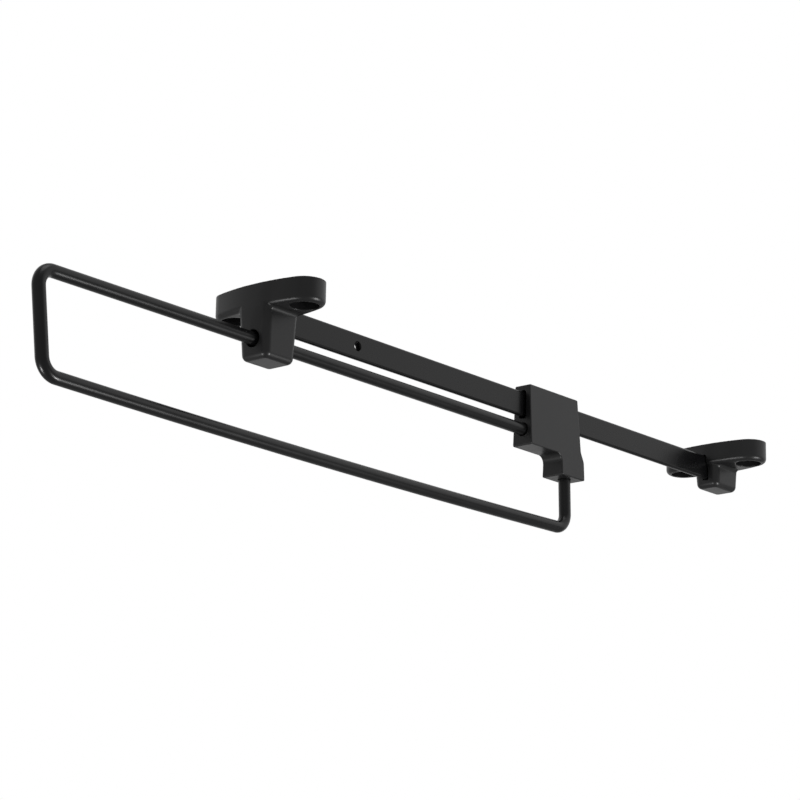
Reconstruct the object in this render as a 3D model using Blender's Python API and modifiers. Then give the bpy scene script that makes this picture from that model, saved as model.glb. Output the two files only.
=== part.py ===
"""Pull-out clothes rail for the underside of a wardrobe shelf.

A flat guide bar runs from front to back between two moulded brackets. A slider rides on the bar and
carries a bent wire loop for the hangers, whose upper wire also runs through the front bracket.
Lengths are metres, +Z is up and the rail pulls out along -Y. The origin is on the front bracket's
mounting face, midway between its two screw holes.
"""

import math

import bmesh
import bpy
from mathutils import Matrix, Vector

MM = 0.001

# Fits
SEAT_GAP = 0.3 * MM  # around pieces that are pressed or pinned together
RUN_GAP = 0.35 * MM  # around pieces that slide

# Guide bar
BAR_HEIGHT = 15.4 * MM
BAR_THICKNESS = 3.2 * MM
BAR_TOP_DROP = 7.4 * MM  # mounting face down to the bar's upper edge
BAR_HOLE_DIAMETER = 4.6 * MM
BAR_HOLE_FLARE = 0.7 * MM  # countersink at both mouths of the cross hole
BAR_HOLE_SETBACK = 71.5 * MM  # front screw line back to the cross hole
BAR_EDGE_RADIUS = 1.3 * MM
BAR_EDGE_STEPS = 4

# Bracket flanges
BRACKET_SPACING = 429.3 * MM  # between the two screw lines
SCREW_PITCH = 50.0 * MM
SCREW_HOLE_DIAMETER = 5.0 * MM
POCKET_DIAMETER = 17.0 * MM  # round recess for each screw head
POCKET_ROOF = 4.0 * MM
FLANGE_HEIGHT = 13.0 * MM
FLANGE_RIM = 3.0 * MM  # wall round the ends of the flange, outside the recesses
FLANGE_BULGE = 3.0 * MM  # how far the long sides bow out past the ends
FLANGE_EDGE_RADIUS = 2.0 * MM
FLANGE_TOP_EASE = 0.2 * MM

# Blocks under the flanges
BLOCK_CORNER_RADIUS = 3.8 * MM
BLOCK_FOOT_RADIUS = 3.25 * MM
BLOCK_COVE_RADIUS = 1.4 * MM
BLOCK_SIDE_DRAFT = math.radians(3.3)
BAR_END_WALL = 6.5 * MM  # material past each end of the bar
FLUSH_STEP = 0.05 * MM  # the front block's face behind the flange's wall
FRONT_BLOCK_FRONT_DRAFT = math.radians(3.1)
FRONT_BLOCK_BACK = 11.6 * MM  # screw line back to the block's rear face
FRONT_BLOCK_BACK_DRAFT = math.radians(1.5)
FRONT_BLOCK_WALL = 3.8 * MM  # beside the bush, at the block's foot
FRONT_BLOCK_FLOOR = 5.45 * MM  # under the bush
REAR_BLOCK_FRONT = 12.8 * MM
REAR_BLOCK_FRONT_DRAFT = math.radians(4.0)
REAR_BLOCK_BACK = 13.0 * MM
REAR_BLOCK_BACK_DRAFT = math.radians(2.0)
REAR_BLOCK_WALL = 6.4 * MM  # beside the bar, at the block's foot
REAR_BLOCK_FLOOR = 4.9 * MM  # under the bar

# Hanger loop
WIRE_DIAMETER = 7.3 * MM  # a 7 mm rod with its coat
LOOP_LENGTH = 437.5 * MM  # along the upper wire's axis, between the axes of the two uprights
LOOP_HEIGHT = 54.7 * MM  # between the axes of its two long wires
LOOP_BEND_RADIUS = 9.0 * MM  # on the wire's axis
LOOP_FRONT_LEAN = math.radians(7.4)  # the front upright leans back towards its foot
LOOP_OVERHANG = 171.5 * MM  # front upright ahead of the front screw line, at the upper wire
BAR_WIRE_GAP = 3.95 * MM  # between the bar and the upper wire

# Bush for the upper wire in the front bracket
BUSH_WALL = 1.6 * MM
BUSH_SHOULDER = 8.0 * MM  # front wall that the bush stops against
BUSH_RECESS = 0.6 * MM  # bush behind the block's rear face
BORE_MOUTH_GAP = 1.3 * MM  # round the wire where it enters the bracket

# Slider
SLEEVE_WALL = 1.2 * MM
SLIDER_WALL = 2.0 * MM  # beside the sleeve, at the slider's top
SLIDER_ROOF = 2.15 * MM  # above the sleeve
SLIDER_FLOOR = 5.65 * MM  # under the upper wire's socket
SLIDER_REACH = 41.5 * MM  # leg's axis forward to the slider's front face
SLIDER_BACK_TOP = 5.8 * MM  # leg's axis back to the slider's upper rear edge
SLIDER_BACK_LOW = 7.8 * MM  # the same, just above the leg
SLIDER_EDGE_RADIUS = 0.9 * MM
SLIDER_SIDE_EASE = 0.45 * MM
SLOT_MOUTH_GAP = 0.9 * MM  # round the bar at the slider's front face
SLOT_MOUTH_LENGTH = 5.0 * MM  # front wall that the sleeve stops against
SLEEVE_RECESS = 0.8 * MM  # sleeve inside the slider's rear face
UPPER_SOCKET_DEPTH = 24.0 * MM
LOWER_SOCKET_DEPTH = 20.0 * MM
LEG_DROP = 12.7 * MM  # below the underside of the slider's body
LEG_SIDE_WALL = 3.45 * MM  # beside the wire, at the leg's foot
LEG_FRONT_WALL = 7.25 * MM
LEG_REAR_WALL = 6.05 * MM
LEG_FRONT_FILLET = 5.0 * MM
LEG_STEP_RISE = 6.0 * MM  # underside of the slider's body up to the top of the step at the rear
LEG_STEP_HEIGHT = 8.5 * MM
LEG_STEP_FILLET = 5.0 * MM

# Cross pins, driven from the left-hand side
BAR_PIN_DIAMETER = 3.0 * MM
LOOP_PIN_DIAMETER = 2.5 * MM
PIN_RECESS = 0.5 * MM  # pin behind the face that it is driven through
PIN_COVER = 1.8 * MM  # wall left on the right-hand side

# Facets
ROUND_SIDES = 32
CORNER_STEPS = 6
WIRE_BEVEL_STEPS = 8
OVERCUT = 2.0 * MM  # cutters run this far past the faces they open

# Worked out: heights below the mounting face
BAR_Z = -(BAR_TOP_DROP + BAR_HEIGHT / 2)
WIRE_RADIUS = WIRE_DIAMETER / 2
WIRE_Z = BAR_Z - BAR_HEIGHT / 2 - BAR_WIRE_GAP - WIRE_RADIUS
FLANGE_Z = -FLANGE_HEIGHT

# Worked out: the flange's plan
POCKET_RADIUS = POCKET_DIAMETER / 2
FLANGE_END_RADIUS = POCKET_RADIUS + FLANGE_RIM
FLANGE_HALF_DEPTH = FLANGE_END_RADIUS + FLANGE_BULGE

# Worked out: the bush and the blocks' feet
BUSH_BORE_RADIUS = WIRE_RADIUS + RUN_GAP
BUSH_RADIUS = BUSH_BORE_RADIUS + BUSH_WALL
BUSH_SEAT_RADIUS = BUSH_RADIUS + SEAT_GAP
FRONT_FOOT_Z = WIRE_Z - BUSH_SEAT_RADIUS - FRONT_BLOCK_FLOOR
FRONT_FOOT_HALF_WIDTH = BUSH_SEAT_RADIUS + FRONT_BLOCK_WALL
REAR_FOOT_Z = BAR_Z - BAR_HEIGHT / 2 - SEAT_GAP - REAR_BLOCK_FLOOR
REAR_FOOT_HALF_WIDTH = BAR_THICKNESS / 2 + SEAT_GAP + REAR_BLOCK_WALL

# Worked out: the bar's ends, from the front screw line
BAR_FRONT = -FLANGE_HALF_DEPTH + BAR_END_WALL + SEAT_GAP
BAR_REAR = BRACKET_SPACING + REAR_BLOCK_BACK - BAR_END_WALL - SEAT_GAP
BAR_PIN_Z = (FLANGE_Z + BAR_Z - BAR_HEIGHT / 2) / 2

# Worked out: the carriage, measured from the leg's axis and the bar's centre line
LEG_Y = LOOP_LENGTH - LOOP_OVERHANG
SLEEVE_MARGIN = RUN_GAP + SLEEVE_WALL
SEAT_MARGIN = SLEEVE_MARGIN + SEAT_GAP
UPPER_WIRE = WIRE_Z - BAR_Z
SOCKET_RADIUS = WIRE_RADIUS + SEAT_GAP
SLIDER_TOP = BAR_HEIGHT / 2 + SEAT_MARGIN + SLIDER_ROOF
SLIDER_BOTTOM = UPPER_WIRE - SOCKET_RADIUS - SLIDER_FLOOR
LEG_BOTTOM = SLIDER_BOTTOM - LEG_DROP
SLIDER_TOP_HALF_WIDTH = BAR_THICKNESS / 2 + SEAT_MARGIN + SLIDER_WALL
LEG_HALF_WIDTH = SOCKET_RADIUS + LEG_SIDE_WALL
LEG_FRONT = -(SOCKET_RADIUS + LEG_FRONT_WALL)
LEG_REAR = SOCKET_RADIUS + LEG_REAR_WALL


def remove_all():
    """Empty the file of objects, meshes and collections left from before."""
    for item in list(bpy.data.objects):
        bpy.data.objects.remove(item, do_unlink=True)
    for group in list(bpy.data.collections):
        bpy.data.collections.remove(group)


def new_collection(name):
    group = bpy.data.collections.new(name)
    bpy.context.scene.collection.children.link(group)
    return group


def finish(name, colour, roughness, metallic):
    """Return a plain Principled material."""
    material = bpy.data.materials.new(name)
    material.use_nodes = True
    shader = material.node_tree.nodes["Principled BSDF"]
    shader.inputs["Base Color"].default_value = (*colour, 1.0)
    shader.inputs["Roughness"].default_value = roughness
    shader.inputs["Metallic"].default_value = metallic
    return material


def arc(centre, radius, start, end, steps=CORNER_STEPS):
    """Points on a circle from one angle to another, both ends included."""
    turns = [start + (end - start) * step / steps for step in range(steps + 1)]
    return [Vector((centre[0] + radius * math.cos(a), centre[1] + radius * math.sin(a))) for a in turns]


def rounded_path(corners, closed, steps=CORNER_STEPS):
    """Round the corners of a flat path, given as (point, radius) pairs."""
    points = []
    count = len(corners)
    for index, (corner, radius) in enumerate(corners):
        corner = Vector(corner)
        if radius == 0 or (not closed and index in (0, count - 1)):
            points.append(corner)
            continue
        back = (Vector(corners[index - 1][0]) - corner).normalized()
        ahead = (Vector(corners[(index + 1) % count][0]) - corner).normalized()
        half_angle = back.angle(ahead) / 2
        centre = corner + (back + ahead).normalized() * (radius / math.sin(half_angle))
        reach = radius / math.tan(half_angle)
        first = corner + back * reach - centre
        last = corner + ahead * reach - centre
        start = math.atan2(first.y, first.x)
        sweep = (math.atan2(last.y, last.x) - start + math.pi) % (2 * math.pi) - math.pi
        points += arc(centre, radius, start, start + sweep, steps)
    return points


def flange_side_radius():
    """Radius of the flange's bowed long sides."""
    half_pitch = SCREW_PITCH / 2
    return (half_pitch ** 2 + FLANGE_HALF_DEPTH ** 2 - FLANGE_END_RADIUS ** 2) / (2 * FLANGE_BULGE)


def lens_outline(inset=0.0):
    """Plan of a flange: two round ends joined by long bowed sides, pulled in by an inset."""
    end = FLANGE_END_RADIUS - inset
    half_pitch = SCREW_PITCH / 2
    side = flange_side_radius() - inset
    half_sweep = math.asin(half_pitch / (side - end))
    quarter = math.pi / 2
    centre = flange_side_radius() - FLANGE_HALF_DEPTH
    front = arc((0, centre), side, -quarter - half_sweep, -quarter + half_sweep, 2 * CORNER_STEPS)
    right = arc((half_pitch, 0), end, half_sweep - quarter, quarter - half_sweep, 2 * CORNER_STEPS)
    back = [-point for point in front]
    left = [-point for point in right]
    return front + right[1:-1] + back + left[1:-1]


def block_outline(half_width, front, back, corner):
    """Plan of a block: a bowed front face, straight sides and back, four rounded edges."""
    bow = flange_side_radius()
    bow_centre = bow - front
    reach = half_width - corner
    corner_y = bow_centre - math.sqrt((bow - corner) ** 2 - reach ** 2)
    lean = math.asin(reach / (bow - corner))
    quarter = math.pi / 2
    face = arc((0, bow_centre), bow, -quarter - lean, -quarter + lean)
    front_right = arc((reach, corner_y), corner, lean - quarter, 0)
    back_right = arc((reach, back - corner), corner, 0, quarter)
    back_left = arc((-reach, back - corner), corner, quarter, 2 * quarter)
    front_left = arc((-reach, corner_y), corner, 2 * quarter, 3 * quarter - lean)
    return face[1:-1] + front_right + back_right + back_left + front_left


def lofted(rings):
    """Closed mesh through level rings of equally many points, listed from the bottom up."""
    shape = bmesh.new()
    levels = [[shape.verts.new((point.x, point.y, height)) for point in ring] for ring, height in rings]
    for lower, upper in zip(levels, levels[1:]):
        for index in range(len(lower)):
            after = (index + 1) % len(lower)
            shape.faces.new((lower[index], lower[after], upper[after], upper[index]))
    shape.faces.new(reversed(levels[0]))
    shape.faces.new(levels[-1])
    return shape


def cylinder_shape(radius, length, axis):
    """Closed cylinder about the origin along X, Y or Z."""
    shape = bmesh.new()
    bmesh.ops.create_cone(
        shape, cap_ends=True, segments=ROUND_SIDES, radius1=radius, radius2=radius, depth=length)
    turn = {"X": Matrix.Rotation(math.pi / 2, 4, "Y"), "Y": Matrix.Rotation(math.pi / 2, 4, "X")}
    if axis in turn:
        bmesh.ops.transform(shape, matrix=turn[axis], verts=shape.verts)
    return shape


def box_shape(size):
    """Closed box about the origin."""
    shape = bmesh.new()
    bmesh.ops.create_cube(shape, size=1.0, matrix=Matrix.Diagonal((*size, 1.0)))
    return shape


def add_object(name, shape, group, location=(0, 0, 0), parent=None, material=None):
    """Turn a bmesh into an object in a collection, shaded smooth over its round stretches."""
    mesh = bpy.data.meshes.new(name)
    shape.normal_update()
    shape.to_mesh(mesh)
    shape.free()
    mesh.shade_smooth()
    mesh.set_sharp_from_angle(angle=math.radians(35))
    item = bpy.data.objects.new(name, mesh)
    group.objects.link(item)
    item.location = location
    item.parent = parent
    if material:
        mesh.materials.append(material)
    return item


def add_cylinder(name, group, radius, start, end, parent=None, material=None):
    """Cylinder between two points that differ along one axis only."""
    start, end = Vector(start), Vector(end)
    run = end - start
    axis = "XYZ"[max(range(3), key=lambda index: abs(run[index]))]
    return add_object(name, cylinder_shape(radius, run.length, axis), group, (start + end) / 2, parent, material)


def add_box(name, group, low, high, parent=None):
    """Box between two opposite corners."""
    low, high = Vector(low), Vector(high)
    return add_object(name, box_shape(high - low), group, (low + high) / 2, parent)


def combine(part, operation, *tools):
    """Cut, or join, hidden shapes to a part and mark them as construction shapes."""
    for tool in tools:
        tool.hide_render = True
        tool.display_type = "WIRE"
        step = part.modifiers.new(tool.name, "BOOLEAN")
        step.operation = operation
        step.solver = "EXACT"
        step.object = tool


def curve_mesh(name, points, half_thickness=0.0, bevel=0.0):
    """Mesh of a flat outline with thickness, or of a wire along an open path, with welded caps."""
    curve = bpy.data.curves.new(name, "CURVE")
    curve.dimensions = "3D" if bevel else "2D"
    spline = curve.splines.new("POLY")
    spline.points.add(len(points) - 1)
    for place, point in zip(spline.points, points):
        place.co = (*point.to_3d(), 1.0)
    if bevel:
        curve.bevel_depth = bevel
        curve.bevel_resolution = WIRE_BEVEL_STEPS
        curve.use_fill_caps = True
    else:
        spline.use_cyclic_u = True
        curve.fill_mode = "BOTH"
        curve.extrude = half_thickness
    holder = bpy.data.objects.new(name, curve)
    bpy.context.scene.collection.objects.link(holder)
    depsgraph = bpy.context.evaluated_depsgraph_get()
    mesh = bpy.data.meshes.new_from_object(holder.evaluated_get(depsgraph))
    shape = bmesh.new()
    shape.from_mesh(mesh)
    bmesh.ops.remove_doubles(shape, verts=shape.verts, dist=0.001 * MM)
    bmesh.ops.recalc_face_normals(shape, faces=shape.faces)
    bpy.data.objects.remove(holder, do_unlink=True)
    bpy.data.meshes.remove(mesh)
    return shape


def upright(shape):
    """Stand a shape drawn in XY up in the YZ plane, its drawn x along Y and its drawn y along Z."""
    bmesh.ops.transform(shape, matrix=Matrix(((0, 0, 1, 0), (1, 0, 0, 0), (0, 1, 0, 0), (0, 0, 0, 1))),
                        verts=shape.verts)
    return shape


def flange_shape():
    """Flange with a rounded lower edge and an eased mounting edge."""
    rings = []
    for step in range(CORNER_STEPS, -1, -1):
        turn = math.pi / 2 * step / CORNER_STEPS
        inset = FLANGE_EDGE_RADIUS * (1 - math.cos(turn))
        rings.append((lens_outline(inset), FLANGE_Z + FLANGE_EDGE_RADIUS * (1 - math.sin(turn))))
    rings.append((lens_outline(), -FLANGE_TOP_EASE))
    rings.append((lens_outline(FLANGE_TOP_EASE), 0.0))
    return lofted(rings)


def block_shape(foot_z, foot_half_width, front, front_draft, back, back_draft):
    """Drafted block under a flange, with a rounded foot and a cove where its sides meet the flange.

    The front and back are the distances of its end faces from the screw line at the flange.
    """
    def ring(height, inset=0.0, cove=0.0):
        rise = height - foot_z
        drop = max(FLANGE_Z - height, 0.0)
        half_width = foot_half_width + rise * math.tan(BLOCK_SIDE_DRAFT)
        return (block_outline(half_width - inset + cove,
                              front - drop * math.tan(front_draft) - inset,
                              back - drop * math.tan(back_draft) - inset,
                              BLOCK_CORNER_RADIUS - inset + cove), height)

    foot = min(BLOCK_FOOT_RADIUS, 0.9 * BLOCK_CORNER_RADIUS)
    rings = []
    for step in range(CORNER_STEPS, -1, -1):
        turn = math.pi / 2 * step / CORNER_STEPS
        rings.append(ring(foot_z + foot * (1 - math.sin(turn)), foot * (1 - math.cos(turn))))
    for step in range(CORNER_STEPS + 1):
        turn = math.pi / 2 * step / CORNER_STEPS
        height = FLANGE_Z - BLOCK_COVE_RADIUS * (1 - math.sin(turn))
        rings.append(ring(height, 0.0, BLOCK_COVE_RADIUS * (1 - math.cos(turn))))
    rings.append(ring(FLANGE_Z / 2, 0.0, BLOCK_COVE_RADIUS))
    return lofted(rings)


def add_bracket(name, parts, cutters, screw_line, block, material):
    """Flange and block in one moulding, with the recesses and holes for its two screws."""
    place = Vector((0, screw_line, 0))
    bracket = add_object(name, flange_shape(), parts, place, material=material)
    combine(bracket, "UNION", add_object(name + "_block", block, cutters, place))
    for side, label in ((-1, "left"), (1, "right")):
        centre = place + Vector((side * SCREW_PITCH / 2, 0, 0))
        pocket = add_cylinder(f"{name}_{label}_recess", cutters, POCKET_RADIUS,
                              centre + Vector((0, 0, FLANGE_Z - OVERCUT)), centre - Vector((0, 0, POCKET_ROOF)))
        hole = add_cylinder(f"{name}_{label}_screw_hole", cutters, SCREW_HOLE_DIAMETER / 2,
                            centre + Vector((0, 0, FLANGE_Z)), centre + Vector((0, 0, OVERCUT)))
        combine(bracket, "DIFFERENCE", pocket, hole)
    return bracket


def add_bar_seat(bracket, cutters, low_y, high_y):
    """Cut the blind seat for one end of the bar."""
    half_width = BAR_THICKNESS / 2 + SEAT_GAP
    half_height = BAR_HEIGHT / 2 + SEAT_GAP
    seat = add_box(bracket.name + "_bar_seat", cutters,
                   (-half_width, low_y, BAR_Z - half_height), (half_width, high_y, BAR_Z + half_height))
    combine(bracket, "DIFFERENCE", seat)


def add_cross_pin(name, parts, cutters, radius, left, right, carriers, material, parent=None):
    """Headless pin along X, with its hole through each piece that it holds.

    The left and right points are on the two faces that the pin runs between.
    """
    left, right = Vector(left), Vector(right)
    along = Vector((1, 0, 0))
    hole = add_cylinder(name + "_hole", cutters, radius + SEAT_GAP,
                        left - along * OVERCUT, right - along * PIN_COVER, parent)
    pin = add_cylinder(name, parts, radius, left + along * PIN_RECESS,
                       right - along * (PIN_COVER + SEAT_GAP), parent, material)
    for carrier in carriers:
        combine(carrier, "DIFFERENCE", hole)
    return pin


def slider_half_width(height):
    """Half width of the drafted slider at a height from the bar's centre line."""
    share = (SLIDER_TOP - height) / (SLIDER_TOP - LEG_BOTTOM)
    return SLIDER_TOP_HALF_WIDTH + share * (LEG_HALF_WIDTH - SLIDER_TOP_HALF_WIDTH)


def slider_shape():
    """Slider body: its side outline with thickness, widening evenly towards the leg's foot."""
    step_top = SLIDER_BOTTOM + LEG_STEP_RISE
    outline = rounded_path([
        ((-SLIDER_REACH, SLIDER_TOP), SLIDER_EDGE_RADIUS),
        ((-SLIDER_REACH, SLIDER_BOTTOM), SLIDER_EDGE_RADIUS),
        ((LEG_FRONT, SLIDER_BOTTOM), LEG_FRONT_FILLET),
        ((LEG_FRONT, LEG_BOTTOM), SLIDER_EDGE_RADIUS),
        ((LEG_REAR, LEG_BOTTOM), SLIDER_EDGE_RADIUS),
        ((LEG_REAR, step_top - LEG_STEP_HEIGHT), LEG_STEP_FILLET),
        ((SLIDER_BACK_LOW, step_top), LEG_STEP_FILLET),
        ((SLIDER_BACK_TOP, SLIDER_TOP), SLIDER_EDGE_RADIUS),
    ], closed=True)
    shape = upright(curve_mesh("slider_outline", outline, half_thickness=LEG_HALF_WIDTH))
    for vert in shape.verts:
        vert.co.x *= slider_half_width(vert.co.z) / LEG_HALF_WIDTH
    rim = [edge for edge in shape.edges
           if len(edge.link_faces) == 2 and edge.calc_face_angle() > math.radians(60)]
    bmesh.ops.bevel(shape, geom=rim, offset=SLIDER_SIDE_EASE, segments=2, profile=0.5, affect="EDGES",
                    clamp_overlap=True)
    return shape


def loop_shape():
    """Bent wire from its end in the slider's front, round the loop, to its end in the slider's leg."""
    low = UPPER_WIRE - LOOP_HEIGHT
    front_foot = LOOP_HEIGHT * math.tan(LOOP_FRONT_LEAN) - LOOP_LENGTH
    path = rounded_path([
        ((-SLIDER_REACH + UPPER_SOCKET_DEPTH - SEAT_GAP, UPPER_WIRE), 0),
        ((-LOOP_LENGTH, UPPER_WIRE), LOOP_BEND_RADIUS),
        ((front_foot, low), LOOP_BEND_RADIUS),
        ((0, low), LOOP_BEND_RADIUS),
        ((0, LEG_BOTTOM + LOWER_SOCKET_DEPTH - SEAT_GAP), 0),
    ], closed=False, steps=2 * CORNER_STEPS)
    return upright(curve_mesh("loop_path", path, bevel=WIRE_RADIUS))


def cross_hole_shape():
    """Cutter along X for the hole through the bar, countersunk at both faces."""
    radius = BAR_HOLE_DIAMETER / 2
    face = BAR_THICKNESS / 2
    wide = radius + BAR_HOLE_FLARE + OVERCUT
    levels = ((wide, -face - OVERCUT), (radius, BAR_HOLE_FLARE - face),
              (radius, face - BAR_HOLE_FLARE), (wide, face + OVERCUT))
    shape = lofted([(arc((0, 0), size, 0, 2 * math.pi, ROUND_SIDES)[:-1], height) for size, height in levels])
    bmesh.ops.transform(shape, matrix=Matrix.Rotation(math.pi / 2, 4, "Y"), verts=shape.verts)
    return shape


def sleeve_shape(length, margin):
    """Rectangular tube round the bar, as a solid of its outer size."""
    return box_shape((BAR_THICKNESS + 2 * margin, length, BAR_HEIGHT + 2 * margin))


def build_frame(parts, cutters, finishes):
    """Bar, brackets, bush and bar pins: everything that stays with the shelf."""
    bar = add_box("guide_bar", parts, (-BAR_THICKNESS / 2, BAR_FRONT, BAR_Z - BAR_HEIGHT / 2),
                  (BAR_THICKNESS / 2, BAR_REAR, BAR_Z + BAR_HEIGHT / 2))
    bar.data.materials.append(finishes["coat"])
    ease = bar.modifiers.new("eased_edges", "BEVEL")
    ease.width = BAR_EDGE_RADIUS
    ease.segments = BAR_EDGE_STEPS
    combine(bar, "DIFFERENCE", add_object(
        "bar_cross_hole", cross_hole_shape(), cutters, (0, BAR_HOLE_SETBACK, BAR_Z)))

    front = add_bracket("front_bracket", parts, cutters, 0.0, block_shape(
        FRONT_FOOT_Z, FRONT_FOOT_HALF_WIDTH, FLANGE_HALF_DEPTH - FLUSH_STEP,
        FRONT_BLOCK_FRONT_DRAFT, FRONT_BLOCK_BACK, FRONT_BLOCK_BACK_DRAFT), finishes["moulding"])
    rear = add_bracket("rear_bracket", parts, cutters, BRACKET_SPACING, block_shape(
        REAR_FOOT_Z, REAR_FOOT_HALF_WIDTH, REAR_BLOCK_FRONT, REAR_BLOCK_FRONT_DRAFT,
        REAR_BLOCK_BACK, REAR_BLOCK_BACK_DRAFT), finishes["moulding"])
    front_end = max(FRONT_BLOCK_BACK, FLANGE_HALF_DEPTH) + OVERCUT
    rear_end = BRACKET_SPACING - max(REAR_BLOCK_FRONT, FLANGE_HALF_DEPTH) - OVERCUT
    add_bar_seat(front, cutters, BAR_FRONT - SEAT_GAP, front_end)
    add_bar_seat(rear, cutters, rear_end, BAR_REAR + SEAT_GAP)

    bush_front = -FLANGE_HALF_DEPTH + BUSH_SHOULDER + SEAT_GAP
    bush_back = (FRONT_BLOCK_BACK - (FLANGE_Z - WIRE_Z) * math.tan(FRONT_BLOCK_BACK_DRAFT)) - BUSH_RECESS
    mouth = add_cylinder("wire_bore", cutters, WIRE_RADIUS + BORE_MOUTH_GAP,
                         (0, -FLANGE_HALF_DEPTH - OVERCUT, WIRE_Z), (0, bush_back, WIRE_Z))
    seat = add_cylinder("bush_seat", cutters, BUSH_SEAT_RADIUS,
                        (0, bush_front - SEAT_GAP, WIRE_Z), (0, front_end, WIRE_Z))
    combine(front, "DIFFERENCE", mouth, seat)
    bush = add_cylinder("rod_bush", parts, BUSH_RADIUS, (0, bush_front, WIRE_Z), (0, bush_back, WIRE_Z),
                        material=finishes["glide"])
    combine(bush, "DIFFERENCE", add_cylinder(
        "bush_bore", cutters, BUSH_BORE_RADIUS,
        (0, bush_front - OVERCUT, WIRE_Z), (0, bush_back + OVERCUT, WIRE_Z)))

    for name, bracket, foot_z, foot_half_width, pin_y in (
            ("front_bar_pin", front, FRONT_FOOT_Z, FRONT_FOOT_HALF_WIDTH, (BAR_FRONT + FRONT_BLOCK_BACK) / 2),
            ("rear_bar_pin", rear, REAR_FOOT_Z, REAR_FOOT_HALF_WIDTH,
             (BRACKET_SPACING - REAR_BLOCK_FRONT + BAR_REAR) / 2)):
        face = foot_half_width + (BAR_PIN_Z - foot_z) * math.tan(BLOCK_SIDE_DRAFT)
        add_cross_pin(name, parts, cutters, BAR_PIN_DIAMETER / 2, (-face, pin_y, BAR_PIN_Z),
                      (face, pin_y, BAR_PIN_Z), (bracket, bar), finishes["steel"])


def build_carriage(parts, cutters, finishes):
    """Slider, sleeve, loop and loop pins, on an empty that slides along the bar's centre line."""
    carriage = bpy.data.objects.new("carriage", None)
    carriage.location = (0, LEG_Y, BAR_Z)
    parts.objects.link(carriage)

    slider = add_object("slider_body", slider_shape(), parts, parent=carriage, material=finishes["moulding"])
    loop = add_object("hanger_loop", loop_shape(), parts, parent=carriage, material=finishes["coat"])
    sleeve_front = -SLIDER_REACH + SLOT_MOUTH_LENGTH + SEAT_GAP
    sleeve_back = SLIDER_BACK_TOP - SLEEVE_RECESS
    sleeve_length = sleeve_back - sleeve_front
    sleeve_centre = (0, (sleeve_front + sleeve_back) / 2, 0)
    sleeve = add_object("glide_sleeve", sleeve_shape(sleeve_length, SLEEVE_MARGIN), parts, sleeve_centre,
                        carriage, finishes["glide"])
    combine(sleeve, "DIFFERENCE", add_object(
        "sleeve_bore", sleeve_shape(sleeve_length + 2 * OVERCUT, RUN_GAP), cutters, sleeve_centre, carriage))

    slot_front = -SLIDER_REACH - OVERCUT
    seat_front = -SLIDER_REACH + SLOT_MOUTH_LENGTH
    slot_back = max(SLIDER_BACK_TOP, SLIDER_BACK_LOW, LEG_REAR) + OVERCUT
    mouth = add_object("slot_mouth", sleeve_shape(seat_front + OVERCUT - slot_front, SLOT_MOUTH_GAP), cutters,
                       (0, (slot_front + seat_front + OVERCUT) / 2, 0), carriage)
    seat = add_object("sleeve_seat", sleeve_shape(slot_back - seat_front, SEAT_MARGIN), cutters,
                      (0, (seat_front + slot_back) / 2, 0), carriage)
    upper = add_cylinder("upper_socket", cutters, SOCKET_RADIUS, (0, slot_front, UPPER_WIRE),
                         (0, -SLIDER_REACH + UPPER_SOCKET_DEPTH, UPPER_WIRE), carriage)
    lower = add_cylinder("lower_socket", cutters, SOCKET_RADIUS, (0, 0, LEG_BOTTOM - OVERCUT),
                         (0, 0, LEG_BOTTOM + LOWER_SOCKET_DEPTH), carriage)
    combine(slider, "DIFFERENCE", mouth, seat, upper, lower)

    for name, along, height in (
            ("upper_loop_pin", -SLIDER_REACH + UPPER_SOCKET_DEPTH / 2, UPPER_WIRE),
            ("lower_loop_pin", 0.0, LEG_BOTTOM + LOWER_SOCKET_DEPTH / 2)):
        face = slider_half_width(height)
        add_cross_pin(name, parts, cutters, LOOP_PIN_DIAMETER / 2, (-face, along, height),
                      (face, along, height), (slider, loop), finishes["steel"], carriage)


def main():
    remove_all()
    parts = new_collection("pull_out_clothes_rail")
    cutters = new_collection("construction_shapes")
    finishes = {
        "moulding": finish("black_nylon_moulding", (0.028, 0.028, 0.029), 0.45, 0.0),
        "coat": finish("black_powder_coat", (0.022, 0.022, 0.023), 0.38, 0.0),
        "glide": finish("black_acetal", (0.016, 0.016, 0.016), 0.35, 0.0),
        "steel": finish("zinc_plated_steel", (0.55, 0.56, 0.58), 0.35, 1.0),
    }
    build_frame(parts, cutters, finishes)
    build_carriage(parts, cutters, finishes)


main()
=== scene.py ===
"""Looks of a pull-out clothes rail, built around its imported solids.

The mouldings are described by distance fields, so that every rounded edge, cove and draft is real shape.
The wire loop and the cross pins grow from Geometry Nodes trees, and the flat bar from mesh code. Lengths
are metres, +Z is up and the rail pulls out along -Y.
"""

import logging
import math
from abc import ABC, abstractmethod
from dataclasses import dataclass, field
from enum import Enum
from itertools import combinations, product
from typing import ClassVar

import bmesh
import bpy
import numpy as np
from mathutils import Matrix, Vector


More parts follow.
